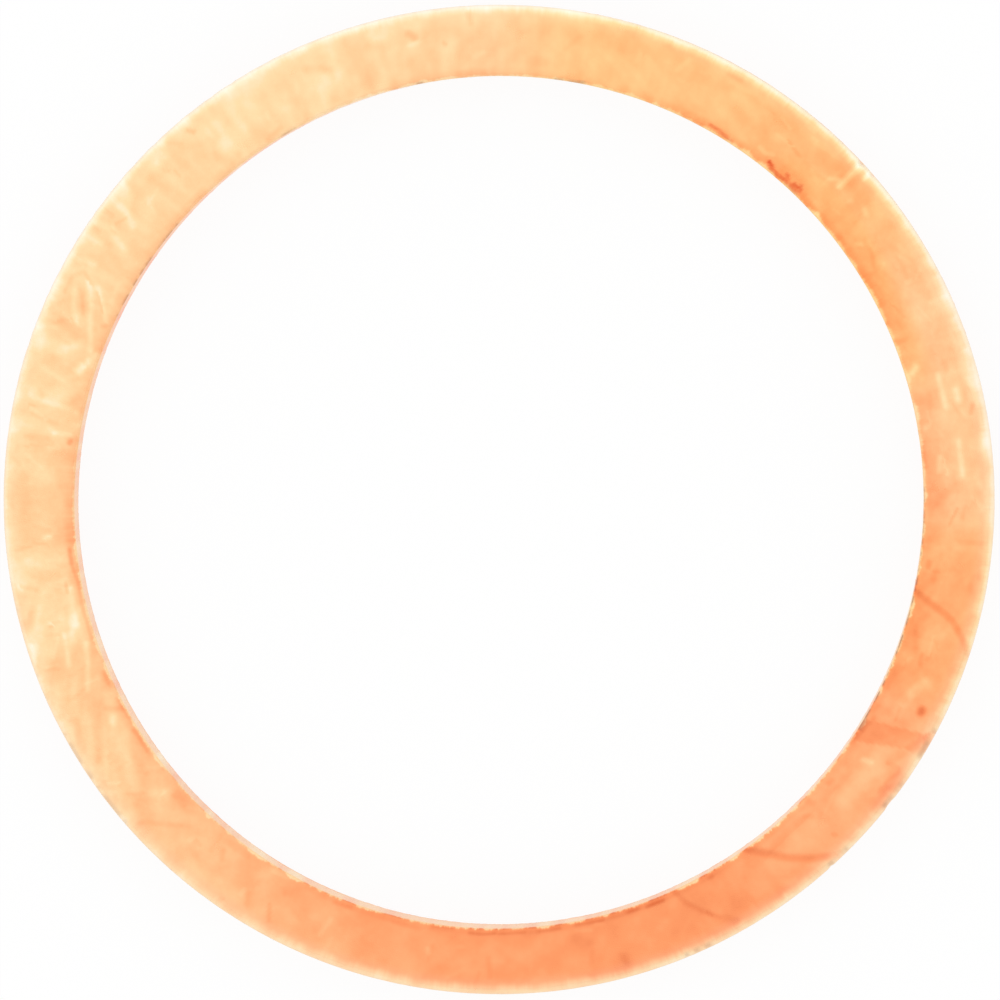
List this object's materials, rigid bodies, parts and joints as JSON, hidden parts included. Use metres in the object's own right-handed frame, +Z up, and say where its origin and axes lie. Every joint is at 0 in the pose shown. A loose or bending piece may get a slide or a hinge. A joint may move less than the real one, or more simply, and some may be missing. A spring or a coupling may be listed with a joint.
{
  "type": "drain plug washer",
  "caption": "Flat copper sealing ring with rolled upper edges, clamped under the head of a drain plug to seal the hole.",
  "frame": {"origin": "centre of the lower face, on the axis of the bore", "axes": "+Z up along the bore, from the lower face to the upper face with the rolled edges; +X to the right of the picture"},
  "size_m": [0.0318, 0.0318, 0.002],
  "materials": {
    "copper": "satin, bright annealed and tumbled copper"
  },
  "bodies": {
    "root": {"washer": "copper"}
  },
  "joints": []
}
